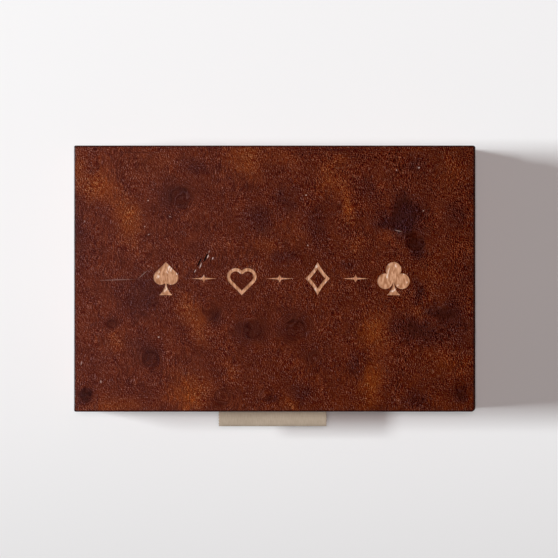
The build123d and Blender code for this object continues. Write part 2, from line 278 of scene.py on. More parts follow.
# %% The smoky clouds of the lid
smoke_clouds = [
    (-41, 33, 9, 8, 0, 0.6),
    (-32, 46, 8, 5, 0, 0.4),
    (-81, 20, 5, 18, 0, 0.6),
    (-54, -7, 11, 11, 0, 0.6),
    (-57, -28, 8, 7, 0, 0.4),
    (-50, -33, 5, 5, 0, 0.5),
    (-7, 24, 7, 7, 0, 0.7),
    (5, 32, 7, 8, 0, 0.5),
    (17, 20, 6, 12, 10, 0.5),
    (3, 9, 8, 4, 0, 0.5),
    (30, 6, 5, 3, 0, 0.6),
    (54, 27, 8, 10, -20, 1.0),
    (57, 14, 5, 5, 0, 0.95),
    (44, 23, 8, 5, 20, 0.6),
    (58, 48, 5, 5, 0, 0.5),
    (38, 38, 6, 9, 0, 0.3),
    (59, -22, 13, 6, -5, 1.0),
    (69, -13, 8, 5, 0, 1.0),
    (58, -5, 4, 6, 0, 0.7),
    (9, -19, 8, 7, 0, 0.6),
    (-11, -21, 8, 6, 0, 0.5),
    (-25, -15, 5, 4, 0, 0.5),
    (-78, -47, 4, 4, 0, 1.0),
    (11, -46, 5, 5, 0, 0.5),
    (-2, -49, 5, 3, 0, 0.4),
    (76, -45, 4, 4, 0, 1.0),
    (56, -49, 9, 5, 0, 0.6),
    (33, -35, 4, 8, 0, 0.4),
    (17, -31, 7, 6, 0, 0.3),
    (74, 27, 8, 6, 0, 0.4),
    (78, 3, 5, 8, 0, 0.3),
    (54, 21, 7, 7, 0, 0.7),
    (75, -18, 7, 13, 0, 0.55),
]
sharp_clouds = [
    (54, 26, 6, 8, -15, 0.35),
    (49, 23, 8, 3.5, 10, 0.25),
    (57, 14.5, 4, 4, 0, 0.25),
    (-37.7, 34.5, 1.6, 1.6, 0, 0.4),
]
cloud_edge = 1.25
sharp_edge, sharp_core = 1.2, 0.7
print(len(smoke_clouds), "smoky clouds and", len(sharp_clouds), "with a sharper edge")


# %% How an oval is drawn
def ovals(place, spots, edge, core=0.0):
    """Adds up soft ovals: full weight up to the share core of each one's size, none from edge on."""
    total = 0.0
    for x, y, half_width, half_height, tilt, weight in spots:
        values = {
            "Vector": place,
            "Location": (x, y, 0),
            "Rotation": (0, 0, math.radians(tilt)),
            "Scale": (half_width * edge, half_height * edge, 1),
        }
        oval = place.node("ShaderNodeMapping", {"vector_type": "TEXTURE"}, values)
        inside = oval.node("ShaderNodeTexGradient", {"gradient_type": "SPHERICAL"}, {0: oval}, output=1)
        total = total + rise(inside, 0.0, 1 - core / edge, weight)
    return total


# %% [markdown]
# Eyes, splits and painted glints
#
# An eye is a smooth, dark disc with a darker ring and faint ripples round it, and the fibres part
# there as water parts round a stone. The gaze finds the larger ones at once, so they have their own
# places. So have three short splits, where the veneer opened along its grain, thin dark streaks at
# the back edge and on the left, and a pale hairline crack. The white specks are painted highlights,
# where chips of lacquer would catch the light.

# %% The eyes
# Each has its middle in x and y, its radius and its weight.
lid_eyes = [
    (-50.6, -32.8, 2.9, 1.0),
    (-26.4, -13.6, 3.0, 0.5),
    (-39.0, 33.5, 3.6, 0.5),
    (-66.5, -18.5, 1.6, 0.8),
    (-21.3, -48.4, 3.0, 0.7),
    (75.7, -44.3, 1.8, 0.9),
    (-77.3, -47.3, 2.2, 0.9),
    (-9.0, -21.0, 3.4, 0.5),
    (8.7, -21.0, 3.8, 0.5),
    (15.5, -32.0, 1.8, 0.5),
    (-3.6, -47.5, 2.2, 0.7),
    (57.0, 15.0, 3.4, 0.3),
]
ring_fade = 1.0
ripple_gap, ripple_reach = 0.5, 3
ring_weight, ripple_weight, disc_weight = 1.2, 2.0, 1 / 3


def eyes(place, rings):
    """How dark the rings, the discs inside them and the ripples round them are."""
    total = 0.0
    for x, y, radius, weight in rings:
        settings = {"operation": "DISTANCE"}
        centre = {0: place, 1: (x, y, 0)}
        far = place.node("ShaderNodeVectorMath", settings, centre, output="Value")
        ring = rise(abs(far - radius), ring_fade, 0.0, weight * ring_weight)
        waves = far.math("PINGPONG", far, ripple_gap)
        ripples = waves * rise(far, ripple_reach * radius, 0.0, weight * ripple_weight)
        total = total + ring + ripples + rise(far, radius, 0.0, weight * disc_weight)
    return total


print(len(lid_eyes), "eyes, the widest", 2 * max(radius for x, y, radius, weight in lid_eyes), "mm")

# %% Splits, streaks and painted glints
# They are ovals, as the clouds are.
lid_splits = [
    (-30.8, 6.6, 0.38, 2.0, -24, 1.0),
    (-28.2, 8.6, 0.4, 2.1, -26, 1.0),
    (-26.2, 7.4, 0.3, 1.1, -20, 0.6),
]
lid_streaks = [
    (24, 52.6, 24, 0.5, 0, 0.55),
    (18, 51.2, 18, 0.35, 1, 0.4),
    (30, 49.8, 14, 0.35, 0, 0.35),
    (-56, 51.5, 10, 0.45, 0, 0.45),
    (-58, 49.2, 6, 0.4, 0, 0.3),
    (-44, 53.0, 8, 0.4, 0, 0.35),
    (-73, 6, 9, 0.3, -3, 0.2),
    (-70, -4, 9, 0.3, 2, 0.2),
]
# The glints are painted highlights, white specks of lamp light. The last two ovals are a pale hairline
# crack.
painted_glints_and_crack = [
    (-27.3, 9.0, 0.22, 1.0, -22, 1.0),
    (-30.3, 5.3, 0.22, 1.5, -20, 0.8),
    (-32.5, 3.1, 0.2, 0.9, -30, 0.7),
    (-25.3, 8.3, 0.25, 0.6, -20, 0.9),
    (-26.8, 11.0, 0.18, 0.7, -15, 0.5),
    (-51.7, 31.9, 0.3, 0.3, 0, 0.7),
    (-42.8, 25.3, 0.3, 0.25, 0, 0.5),
    (-53.1, 21.3, 0.28, 0.3, 0, 0.5),
    (-51.5, 18.0, 0.5, 0.25, 30, 0.4),
    (-77.6, 23.4, 0.2, 0.6, 0, 0.4),
    (12.8, 34.1, 0.5, 0.3, 0, 0.5),
    (13.5, 13.6, 0.3, 0.3, 0, 0.6),
    (49.8, 44.3, 0.25, 0.4, 0, 0.5),
    (58.9, 45.3, 0.5, 0.4, 20, 0.5),
    (60.7, 27.7, 0.3, 0.35, 0, 0.4),
    (-47.4, -23.9, 0.4, 0.4, 0, 0.5),
    (-71.0, -42.1, 0.2, 0.8, 5, 0.7),
    (-79.0, -34.5, 0.18, 1.2, -8, 0.5),
    (50.4, 19.5, 2.0, 0.22, -14, 0.3),
    (-64.5, -0.5, 8.8, 0.16, 2, 0.22),
    (-53.8, 1.7, 3.4, 0.16, 41, 0.25),
]
split_edge, split_core = 1.2, 0.7
glint_edge, glint_core = 1.1, 0.1
print(len(lid_splits), "splits,", len(lid_streaks), "streaks and", len(painted_glints_and_crack), "glints")

# %% [markdown]
# The layers of the burl
#
# The finish is built as the eye reads it, from large to small. The clouds, eyes and fibres give one
# tone from dark to amber, and a ramp turns it into stained wood. Then the hue shifts from plum to
# gold, and the flecks of cut fibre make each point brighter or darker. The sides have the same
# wood, with clouds from noise, because nobody asks for a particular eye there.

# %% The plane of each sheet of veneer, and its clouds
side_amber_size, side_smoke_size = 17, 12
side_amber_band = (0.5, 0.75)
side_smoke_band = (0.52, 0.72)


def burl_place(name, place):
    """The plane of one sheet: the lid lies flat, and the sides are turned to face up."""
    x, y, z = place.parts()
    along, across = {"lid": (x, y), "front": (x, z), "side": (y, z)}[name]
    return place.node("ShaderNodeCombineXYZ", None, {0: along, 1: across}), x, y, z


def burl_clouds(name, bent):
    """Where the wood is amber and where it is smoky, each from 0 to about 1."""
    if name == "lid":
        smoke = ovals(bent, smoke_clouds, cloud_edge)
        smoke = smoke + ovals(bent, sharp_clouds, sharp_edge, sharp_core)
        return ovals(bent, amber_clouds, cloud_edge), smoke
    amber = rise(noise(bent, side_amber_size), *side_amber_band)
    return amber, rise(noise(bent, side_smoke_size), *side_smoke_band)


# %% The run of the fibres
thread_bend, thread_reach = 9.0, 3.2
thread_squeeze = 0.19
eye_reach, eye_core = 2.4, 0.8


def burl_threads(name, flat):
    """A plane where the fibres are straight and upright, though on the wood they part round the
    eyes. With it comes how calm the wood is: 1 inside an eye, 0 away from them."""
    x, y = wander(flat, thread_bend, thread_reach).parts()[:2]
    calm = 0.0
    if name == "lid":
        flat_x, flat_y = flat.parts()[:2]
        for eye_x, eye_y, radius, _ in lid_eyes:
            inside = ovals(flat, [(eye_x, eye_y, radius, radius, 0, 1.0)], eye_reach, eye_core)
            x = x + (eye_x - flat_x) * inside
            y = y + (eye_y - flat_y) * inside
            calm = calm + inside
    return x.node("ShaderNodeCombineXYZ", None, {0: x, 1: y * thread_squeeze}), calm


# %% The tone
# A size is how wide a figure is, in millimetres, and a share is how much it moves the tone.
tone_start, tone_amber, tone_smoke = 0.42, 0.36, 0.36
tone_to_right = 0.0011
eye_shake, eye_shake_reach, eye_share = 6, 0.8, 0.19
patch_size, patch_share = 8, 0.5
blotch_size, blotch_share = 2.6, 0.15
line_size, line_share = 0.75, 0.88
drawn_size, drawn_least, drawn_more = 15, 0.35, 0.65
drawn_band = (0.42, 0.58)


def burl_tone(name, flat, bent, threads, amber, smoke, x):
    """The large and middle figure, from 0, nearly black, to 1, amber."""
    tone = tone_start + amber * tone_amber - smoke * tone_smoke
    if name == "lid":
        shaky = pressed(wander(flat, eye_shake, eye_shake_reach))
        tone = tone - x * tone_to_right - eyes(shaky, lid_eyes) * eye_share
    patches = swing(bent, patch_size, detail=3)
    blotches = swing(bent, blotch_size, detail=2)
    lines = swing(threads, line_size, detail=1)
    drawn = drawn_least + rise(noise(flat, drawn_size, detail=1), *drawn_band, drawn_more)
    return tone + patches * patch_share + blotches * blotch_share + lines * drawn * line_share


# %% The flecks
fibre_fine, fibre_pull = 0.24, 4.95
# Painted light and shade: each grain is bright on one side and dark on the other, as relief lit from
# one side.
relief_shade_size, relief_shade_pull = 0.4, 3.7
relief_shade_step = (0.35, 0.2, 0.0)
lively_size, lively_least, lively_more = 9, 0.55, 0.38
lively_band = (0.38, 0.62)
smoke_from, smoke_to, smoke_less = 0.3, 1.1, 0.35
corner_slant, corner_reach, corner_more = 0.6, 80, 0.38
calm_less = 0.4
# A fleck pulls least at red and most at blue. The lift keeps the mean light where it was, and the
# top keeps a bright fleck from turning white.
fleck_pull = (0.86, 1.84, 2.45)
fleck_lift = 0.18
fleck_top = 1.8


def fleck_strength(name, flat, calm, smoke):
    """Less in smoke and in the eyes, and more towards the back right corner of the lid."""
    lively = rise(noise(flat, lively_size, detail=2), *lively_band, lively_more)
    strength = lively_least + lively - rise(smoke, smoke_from, smoke_to, smoke_less)
    if name == "lid":
        x, y = flat.parts()[:2]
        growth = 1 + rise(x + y * corner_slant, 0, corner_reach, corner_more)
        strength = strength * growth * (1 - calm * calm_less)
    return strength


def burl_flecks(name, flat, threads, calm, smoke):
    """How much brighter or darker the cut fibres are than the wood round them, in red, green and
    blue. The grains are painted light and shade as well as the fibres' own spots: the change between
    two places less than half a millimetre apart, so each is bright on one side and dark on the other."""
    fine = swing(threads, fibre_fine, detail=0)
    here = noise(flat, relief_shade_size, detail=0)
    beside = noise(vector("ADD", flat, relief_shade_step), relief_shade_size, detail=0)
    # Painted light and shade: the difference between a place and the one just beside it.
    grain_relief_shade = here - beside
    strength = fleck_strength(name, flat, calm, smoke)
    pepper = (fine * fibre_pull + grain_relief_shade * relief_shade_pull) * strength
    pepper = pepper.math("MINIMUM", pepper, fleck_top)
    shares = {}
    for index, pull in enumerate(fleck_pull):
        lift = strength * strength * (fleck_lift * pull * pull)
        shares[index] = pepper.math("POWER", 2.0, pepper * pull - lift)
    return pepper.node("ShaderNodeCombineXYZ", None, shares)


# %% The hue
# What red, green and blue are multiplied by, and how smoke and amber change that.
tint_red = 1.01
tint_green, green_in_smoke = 1.2, 0.4
tint_blue, blue_in_smoke, blue_in_amber = 1.51, 1.3, 0.5
# The lid stays bluer towards the left. This is partly the wood's hue and partly painted sheen of the
# lamp there.
blue_to_right = 0.0035


def burl_tint(name, amber, smoke, x):
    """A shift of hue: smoky places turn plum, amber ones and the lid's right turn golden."""
    green = tint_green + smoke * green_in_smoke
    blue = tint_blue + smoke * blue_in_smoke - amber * blue_in_amber
    if name == "lid":
        blue = blue - x * blue_to_right
    return smoke.node("ShaderNodeCombineXYZ", None, {0: tint_red, 1: green, 2: blue})


# %% [markdown]
# The painted edge shade and the cut suits
#
# The lid's rounded edge is painted dark with shade, widest on the right, which faces away from the
# lamp. The suits are cut into the veneer by the model itself, so the finish only asks how deep a
# point lies: a little under the top, the wood is raw and copper-coloured.
# A painted stencil would have to repeat every outline, and could slip off it.

# %% The painted shade round the lid's edge
lid_low, lid_high = (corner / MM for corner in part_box("lid_top_veneer"))
edge_start, edge_full = 0.9, 0.3
right_start, right_full = 1.3, 0.6
edge_shade_share = 0.8


def painted_edge_shade(x, y):
    """Painted shade along the lid's rounded edge, widest on the right, which faces away from the lamp.
    """
    right = rise(x, lid_high.x - right_start, lid_high.x - right_full)
    left = rise(x, lid_low.x + edge_start, lid_low.x + edge_full)
    back = rise(y, lid_high.y - edge_start, lid_high.y - edge_full)
    front = rise(y, lid_low.y + edge_start, lid_low.y + edge_full)
    return clamped((right + left + back + front) * edge_shade_share)


print("the lid's veneer is at", round(lid_high.z, 2), "mm")

# %% The cut suits
# They lie within the motif's half width and half height. Past those, a low point is only the edge.
copper_dark, copper_light = colour("#A26C4A"), colour("#D8A481")
# The glint colour is a painted highlight on the cut wood.
copper_painted_glint = colour("#F2D9C8")
motif_half_width, motif_half_height, motif_fade = 60.0, 9.0, 1.0
motif_depth = 0.12
copper_bend, copper_reach = 6, 1
copper_squeeze = (1.0, 0.3, 1.0)
copper_size, copper_band = 0.8, (0.3, 0.72)
bright_bend, bright_reach = 8, 3
bright_squeeze = (1.0, 0.35, 1.0)
bright_size, bright_band, bright_share = 1.3, (0.62, 0.72), 0.8


def engraved(wood, x, y, z, flat):
    """The floor of the cut suits: raw copper-coloured wood with painted pale highlights."""
    inside = rise(abs(x), motif_half_width + motif_fade, motif_half_width)
    inside = inside * rise(abs(y), motif_half_height + motif_fade, motif_half_height)
    deep = rise(z, lid_high.z - motif_depth / 2, lid_high.z - motif_depth)
    streaky = vector("MULTIPLY", wander(flat, copper_bend, copper_reach), copper_squeeze)
    streak = rise(noise(streaky, copper_size, detail=3), *copper_band)
    copper = mixed(streak, copper_dark, copper_light)
    shiny = vector("MULTIPLY", wander(flat, bright_bend, bright_reach), bright_squeeze)
    glint = rise(noise(shiny, bright_size, detail=1), *bright_band, bright_share)
    return mixed(inside * deep, wood, mixed(glint, copper, copper_painted_glint))


# %% The marks that only the lid has
split_colour = colour("#0A0606")
streak_colour = colour("#2A0A0C")
# Painted highlight colour for the glints, which the pale hairline crack shares.
painted_glint_colour = colour("#F2DCD0")
# Painted sheen: a pale, milky veil over the lid's left that stands for the lamp's reflection in the
# lacquer.
painted_sheen_colour = colour("#A89A98")
# Painted shade colour for the lid's rounded edge.
edge_shade_colour = colour("#1E0B08")
painted_sheen_from, painted_sheen_to, painted_sheen_share = 30, -90, 0.015
streak_shake, streak_reach = 6, 0.4


def lid_marks(wood, flat, x, y, z):
    """A painted sheen of the lamp on the left, then streaks, splits, painted glints, the painted edge
    shade and the cut suits.
    """
    wood = mixed(rise(x, painted_sheen_from, painted_sheen_to, painted_sheen_share), wood, painted_sheen_colour)
    shaky = pressed(wander(flat, streak_shake, streak_reach))
    wood = mixed(ovals(shaky, lid_streaks, cloud_edge), wood, streak_colour)
    wood = mixed(ovals(flat, lid_splits, split_edge, split_core), wood, split_colour)
    wood = mixed(ovals(flat, painted_glints_and_crack, glint_edge, glint_core), wood, painted_glint_colour)
    wood = mixed(painted_edge_shade(x, y), wood, edge_shade_colour)
    return engraved(wood, x, y, z, flat)


# %% The finish of the burl
burl_ramp = [
    (0.0, colour("#300D07")),
    (0.25, colour("#42160C")),
    (0.45, colour("#511D0F")),
    (0.6, colour("#5E2412")),
    (0.8, colour("#6E2C13")),
    (1.0, colour("#843513")),
]
wood_floor = (0.0, 0.0026, 0.0042)
cloud_bend, cloud_reach = 24, 5
ragged_bend, ragged_reach = 5, 2.6
satin, satin_size, satin_swing = 0.22, 1.2, 0.14
lacquer_size, lacquer_depth = 0.6, 0.01


def burl_finish(name):
    """The whole finish, for the lid, for the front and back, or for the two sides."""
    material, shader, place = start_finish("burl_" + name)
    flat, x, y, z = burl_place(name, place)
    drifting = wander(flat, cloud_bend, cloud_reach)
    bent = pressed(wander(drifting, ragged_bend, ragged_reach, detail=3))
    amber, smoke = burl_clouds(name, bent)
    threads, calm = burl_threads(name, flat)
    wood = ramp(burl_tone(name, flat, bent, threads, amber, smoke, x), burl_ramp)
    wood = vector("MULTIPLY", wood, burl_tint(name, amber, smoke, x))
    wood = vector("MULTIPLY", wood, burl_flecks(name, flat, threads, calm, smoke))
    wood = vector("MAXIMUM", vector("SUBTRACT", wood, wood_floor), (0.0, 0.0, 0.0))
    if name == "lid":
        wood = lid_marks(wood, flat, x, y, z)
    feed(shader, "Base Color", wood)
    feed(shader, "Roughness", satin + swing(flat, satin_size) * satin_swing)
    feed(shader, "Normal", relief(noise(flat, lacquer_size), lacquer_depth))
    hold(shader, {"Specular IOR Level": 0.27, "Coat Weight": 0.1, "Coat Roughness": 0.15})
    return material


dress(burl_finish("lid"), "lid_top_veneer")
dress(burl_finish("front"), "lid_front_veneer", "lid_back_veneer",
      "base_front_veneer", "base_back_veneer")
dress(burl_finish("side"), "lid_left_veneer", "lid_right_veneer",
      "base_left_veneer", "base_right_veneer")
print("the lid's burl has", len(bpy.data.materials["burl_lid"].node_tree.nodes), "nodes")

# %% [markdown]
# The boards
#
# Under the veneer the walls, rails and panels are solid wood, stained nearly black. It shows where
# the box opens: the rims, the block between the decks, the edges of the lid. On a real board the
# grain runs along its length, and the corners are mitred, so the front and the sides need the same
# wood turned by a quarter. Where the place is squeezed along one axis before the noise is asked for,
# the noise is drawn out into long fibres that way.

# %% Stained wood
board_ramp = [
    (0.25, colour("#241009")),
    (0.5, colour("#3A1B0F")),
    (0.75, colour("#542A17")),
]
pore_colour = colour("#150806")
board_bend, board_reach = 25, 0.8
ring_gap, ring_roughness = 3.2, 0.6
fibre_size, fibre_share = 0.35, 0.5
pore_size, pore_band, pore_share = 0.16, (0.6, 0.7), 0.7
board_gloss, board_gloss_swing = 0.42, 0.2
board_depth = 0.02
along_squeeze = 0.05


def board_finish(name, squeeze):
    """Wood whose fibres run along the axis that squeeze makes short."""
    material, shader, place = start_finish(name)
    board = vector("MULTIPLY", wander(place, board_bend, board_reach), squeeze)
    rings = noise(board, ring_gap, 3, ring_roughness)
    fibres = noise(board, fibre_size)
    pores = rise(noise(board, pore_size, detail=1), *pore_band)
    wood = ramp(rings + (fibres - noise_middle) * fibre_share, board_ramp)
    feed(shader, "Base Color", mixed(pores * pore_share, wood, pore_colour))
    feed(shader, "Roughness", board_gloss + (fibres - noise_middle) * board_gloss_swing)
    feed(shader, "Normal", relief(fibres - pores, board_depth))
    hold(shader, {"Specular IOR Level": 0.4})
    return material


along_x = (along_squeeze, 1.0, 1.0)
along_y = (1.0, along_squeeze, 1.0)
dress(board_finish("stained_wood_across", along_x), "base_front_wall", "base_back_wall",
      "base_bottom_panel", "lid_front_rail", "lid_back_rail", "lid_top_panel")
dress(board_finish("stained_wood_deep", along_y), "base_left_wall", "base_right_wall",
      "deck_divider", "lid_left_rail", "lid_right_rail")
print("fibres", fibre_size, "mm wide and about", round(fibre_size / along_squeeze), "mm long")

# %% [markdown]
# Brass and nickel
#
# The hinges are stamped brass, brushed along the leaf and a little brown where hands don't reach.
# The magnets are nickel plated. A metal is almost all reflection, so its colour hardly varies, and
# what tells it apart is how rough it is and which way the brush went.

# %% The two metals
brass_bright = colour("#D9B06A")
brass_brown = colour("#A67F48")
nickel_grey = colour("#C9C6C1")
nickel_shade = colour("#B3AFA9")
brush_squeeze = (0.04, 1.0, 1.0)
brush_size, brush_gloss, brush_depth = 0.08, 0.2, 0.004
dull_size, dull_from, dull_to, dull_gloss = 2.2, 0.72, 0.9, 0.15


def metal_finish(name, bright, dull, dullness, roughness):
    """Brushed metal with dull patches, as many of them as dullness says."""
    material, shader, place = start_finish(name)
    brush = noise(vector("MULTIPLY", place, brush_squeeze), brush_size)
    patch = rise(noise(place, dull_size, detail=3), dull_from - dullness, dull_to - dullness)
    feed(shader, "Base Color", mixed(patch, bright, dull))
    gloss = roughness + (brush - noise_middle) * brush_gloss + patch * dull_gloss
    feed(shader, "Roughness", gloss)
    feed(shader, "Normal", relief(brush, brush_depth))
    hold(shader, {"Metallic": 1.0})
    return material


brass = metal_finish("aged_brass", brass_bright, brass_brown, dullness=0.16, roughness=0.3)
nickel = metal_finish("nickel_plate", nickel_grey, nickel_shade, dullness=0.1, roughness=0.2)
for side in ("left", "right"):
    dress(brass, side + "_hinge_base_leaf", side + "_hinge_lid_leaf", side + "_hinge_pin",
          side + "_hinge_base_screws", side + "_hinge_lid_screws")
    dress(nickel, "base_" + side + "_magnet", "lid_" + side + "_magnet")
print("brass and nickel are on")

# %% [markdown]
# Suede and felt
#
# Cards slide in and out over a lining of taupe microsuede. It's cloth with a very short pile, so it
# has no shine of its own, a pale edge where the pile is seen from the side, and darker places where
# it was brushed the other way. The felt that the box stands on is the same idea with longer, wilder
# fibres. The shader's sheen is made for this: it lights up a surface that is seen at a slant.

# %% The two soft finishes
suede_light = colour("#A8957F")
suede_dark = colour("#7E6C59")
felt_light = colour("#3B2A22")
felt_dark = colour("#20150F")
pile_start, stroke_share, pile_share = 0.55, 1.1, 0.8
pile_roughness = 0.7


def pile_finish(name, light, dark, fibre, brushed, depth, sheen):
    """Short pile: brushed places as wide as brushed, and fibres as thick as fibre."""
    material, shader, place = start_finish(name)
    strokes = noise(wander(place, brushed, brushed / 3), brushed, detail=3)
    fibres = noise(place, fibre, 3, pile_roughness)
    share = pile_start + (strokes - noise_middle) * stroke_share
    share = share + (fibres - noise_middle) * pile_share
    feed(shader, "Base Color", mixed(clamped(share), dark, light))
    feed(shader, "Normal", relief(fibres, depth))
    hold(shader, {"Roughness": 0.95, "Specular IOR Level": 0.15})
    hold(shader, {"Sheen Weight": sheen, "Sheen Roughness": 0.45})
    return material


suede = pile_finish("taupe_suede", suede_light, suede_dark,
                    fibre=0.25, brushed=14.0, depth=0.06, sheen=0.35)
felt = pile_finish("brown_felt", felt_light, felt_dark,
                   fibre=0.5, brushed=6.0, depth=0.15, sheen=0.2)
print("suede and felt are ready")

# %% [markdown]
# Padded boards
#
# Each pad and lining is a piece of card wrapped in suede. Its face swells a little in the middle,
# its edge is round where the suede turns over, and its corners are rounded, because cloth can't
# make a sharp one. A cube with bevels would stay flat. So the face is a grid of points that is
# close-set at the edges, and a formula lifts each point by how far it is from the edge.

# %% Grid lines that crowd at both ends
edge_crowding = 0.93


def crowded(half, count):
    """Grid lines from -half to half, close together at both ends."""
    lines = []
    for index in range(count + 1):
        share = index / count
        even = half * (2 * share - 1)
        pushed = half * edge_crowding * math.sin(math.tau * share) / math.pi
        lines.append(even - pushed)
    return lines


print("seven steps over 20 mm:", [round(line, 1) for line in crowded(10, 7)])


# %% Rounded corners
def round_corner(a, b, half_a, half_b, corner):
    """Moves a point of a rectangle's corner block into the quarter of a disc."""
    over_a = (abs(a) - half_a + corner) / corner
    over_b = (abs(b) - half_b + corner) / corner
    if over_a <= 0 or over_b <= 0:
        return a, b
    round_a = over_a * math.sqrt(1 - over_b * over_b / 2)
    round_b = over_b * math.sqrt(1 - over_a * over_a / 2)
    return (
        math.copysign(half_a - corner + corner * round_a, a),
        math.copysign(half_b - corner + corner * round_b, b),
    )


def from_edge(a, b, half_a, half_b, corner):
    """How far inside a rounded rectangle a point lies."""
    over_a = abs(a) - half_a + corner
    over_b = abs(b) - half_b + corner
    if over_a > 0 and over_b > 0:
        return max(corner - math.hypot(over_a, over_b), 0.0)
    return max(min(corner - over_a, corner - over_b), 0.0)


moved = round_corner(10, 10, 10, 10, 2)
print("the corner (10, 10) of a square moves to", [round(side, 2) for side in moved])


# %% Closed meshes from two grids
def closed_grid_faces(wide, high):
    """Faces of two grids, front and back, and of the strip that joins their edges."""
    back = wide * high
    faces = []
    for row in range(high - 1):
        for column in range(wide - 1):
            corner = row * wide + column
            face = (corner, corner + 1, corner + wide + 1, corner + wide)
            faces.append(face)
            faces.append(tuple(back + index for index in reversed(face)))
    ring = list(range(wide))
    ring += [row * wide + wide - 1 for row in range(1, high)]
    ring += [back - 1 - column for column in range(1, wide)]
    ring += [row * wide for row in range(high - 2, 0, -1)]
    for first, second in zip(ring, ring[1:] + ring[:1]):
        faces.append((second, first, back + first, back + second))
    return faces


def make_piece(name, points, faces, finish):
    """A smooth mesh object from points in millimetres."""
    mesh = bpy.data.meshes.new(name)
    mesh.from_pydata([[side * MM for side in point] for point in points], [], faces)
    shape = bmesh.new()
    shape.from_mesh(mesh)
    bmesh.ops.recalc_face_normals(shape, faces=shape.faces)
    shape.to_mesh(mesh)
    shape.free()
    mesh.shade_smooth()
    mesh.materials.append(finish)
    piece = bpy.data.objects.new(name, mesh)
    bpy.context.scene.collection.objects.link(piece)
    return piece


print("two grids of 3 by 3 points close into", len(closed_grid_faces(3, 3)), "faces")

# %% A wrapped board
lines_per_mm = 0.9
fewest_lines = 8
swell_power = 4
across_axis, deep_axis, up_axis = 0, 1, 2


def board_lift(a, b, half_a, half_b, thick, corner, edge, crown):
    """How far the face stands out from the board's back at one point."""
    turn = min(from_edge(a, b, half_a, half_b, corner) / edge, 1.0)
    swell = (1 - (a / half_a) ** swell_power) * (1 - (b / half_b) ** swell_power)
    return thick - crown - edge + edge * math.sqrt(1 - (1 - turn) ** 2) + crown * swell


def soft_board(name, node, axis, side, finish, corner, edge, crown):
    """A wrapped board in the space of a CAD node. Its face looks along an axis, to side +1 or -1."""
    low, high = (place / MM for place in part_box(node))
    across, up = (axis + 1) % 3, (axis + 2) % 3
    half_a, half_b = (high[across] - low[across]) / 2, (high[up] - low[up]) / 2
    middle = (low + high) / 2
    thick = high[axis] - low[axis]
    back = low[axis] if side > 0 else high[axis]
    rows = crowded(half_b, max(fewest_lines, round(half_b * lines_per_mm)))
    columns = crowded(half_a, max(fewest_lines, round(half_a * lines_per_mm)))
    fronts, backs = [], []
    for b_line in rows:
        for a_line in columns:
            a, b = round_corner(a_line, b_line, half_a, half_b, corner)
            point = [0.0, 0.0, 0.0]
            point[across] = middle[across] + a
            point[up] = middle[up] + b
            point[axis] = back
            backs.append(tuple(point))
            point[axis] = back + side * board_lift(a, b, half_a, half_b, thick, corner, edge, crown)
            fronts.append(tuple(point))
    piece = make_piece(name, fronts + backs, closed_grid_faces(len(columns), len(rows)), finish)
    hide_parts(node)
    return piece


# %% The pads under and over the cards
pad_corner, pad_edge, pad_crown = 1.6, 0.45, 0.25
for side in ("left", "right"):
    pad = soft_board(side + "_suede_floor", side + "_floor_pad", up_axis, 1, suede,
                     pad_corner, pad_edge, pad_crown)
    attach(pad, "base")
ceiling = soft_board("suede_ceiling", "lid_ceiling_pad", up_axis, -1, suede,
                     pad_corner, pad_edge, pad_crown)
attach(ceiling, "lid")
print("pad corners", pad_corner, "mm and edges", pad_edge, "mm")

# %% The linings round the cards
lining_corner, lining_edge, lining_crown = 0.6, 0.35, 0.12
for deck in ("left", "right"):
    inward = 1 if deck == "left" else -1
    walls = (("front", deep_axis, 1), ("back", deep_axis, -1), ("side", across_axis, inward))
    for wall, axis, side in walls:
        node = deck + "_deck_" + wall + "_lining"
        lining = soft_board(deck + "_suede_" + wall, node, axis, side, suede,
                            lining_corner, lining_edge, lining_crown)
        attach(lining, "base")

# %% The felt under the box
felt_corner, felt_edge = 1.0, 0.3
foot = soft_board("felt_foot", "base_underside_felt", up_axis, -1, felt,
                  felt_corner, felt_edge, 0.0)
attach(foot, "base")

# %% [markdown]
# The ribbon
#
# One ribbon is folded in two, so that a round fold sticks out in front to be pulled, and both ends
# go through a notch in the lid's front rail and up behind it, where they are glued. It is
# grosgrain: thick weft threads make ribs across it, and its edges wave where they turn back. The
# line of the fold is drawn with a few points seen from the side, a smooth curve goes through them,
# and the cloth is two grids along that curve, with the ribs as real waves in them.

# %% The line of the fold, seen from the side as (y, z)
ribbon_line = [
    (-45.9, 28.0),
    (-45.9, 24.5),
    (-45.9, 21.7),
    (-46.05, 21.2),
    (-46.6, 21.0),
    (-50.5, 21.0),
    (-54.4, 21.02),
    (-57.2, 21.3),
    (-59.4, 21.45),
    (-60.35, 21.25),
    (-60.68, 20.8),
    (-60.35, 20.35),
    (-59.4, 20.15),
    (-57.2, 20.25),
    (-54.4, 20.57),
    (-50.5, 20.6),
    (-46.4, 20.6),
    (-45.7, 20.8),
    (-45.5, 21.5),
    (-45.5, 24.5),
    (-45.5, 28.0),
]
fold_step = 0.2


def bend_between(before, start, end, after, share):
    """One coordinate of a smooth curve from start to end, when before and after are beyond them."""
    straight = (end - before) * share
    curved = (2 * before - 5 * start + 4 * end - after) * share**2
    twisted = (3 * start - before - 3 * end + after) * share**3
    return (2 * start + straight + curved + twisted) / 2


def smooth_line(points, step):
    """A smooth curve through the points, as points about step apart."""
    curve = []
    padded = [points[0]] + points + [points[-1]]
    for before, start, end, after in zip(padded, padded[1:], padded[2:], padded[3:]):
        count = max(2, round(math.dist(start, end) / step))
        for index in range(count):
            share = index / count
            sides = zip(before, start, end, after)
            curve.append(tuple(bend_between(*side, share) for side in sides))
    return curve + [points[-1]]


fold = smooth_line(ribbon_line, fold_step)

# %% The cloth of the ribbon
ribbon_low, ribbon_high = (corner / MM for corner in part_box("ribbon_pull"))
ribbon_columns = 56
rib_gap, rib_depth = 1.22, 0.05
thread_half = 0.18
left_wave, right_wave = 0.2, 0.09
selvedge_power, selvedge_thinner = 40, 0.5


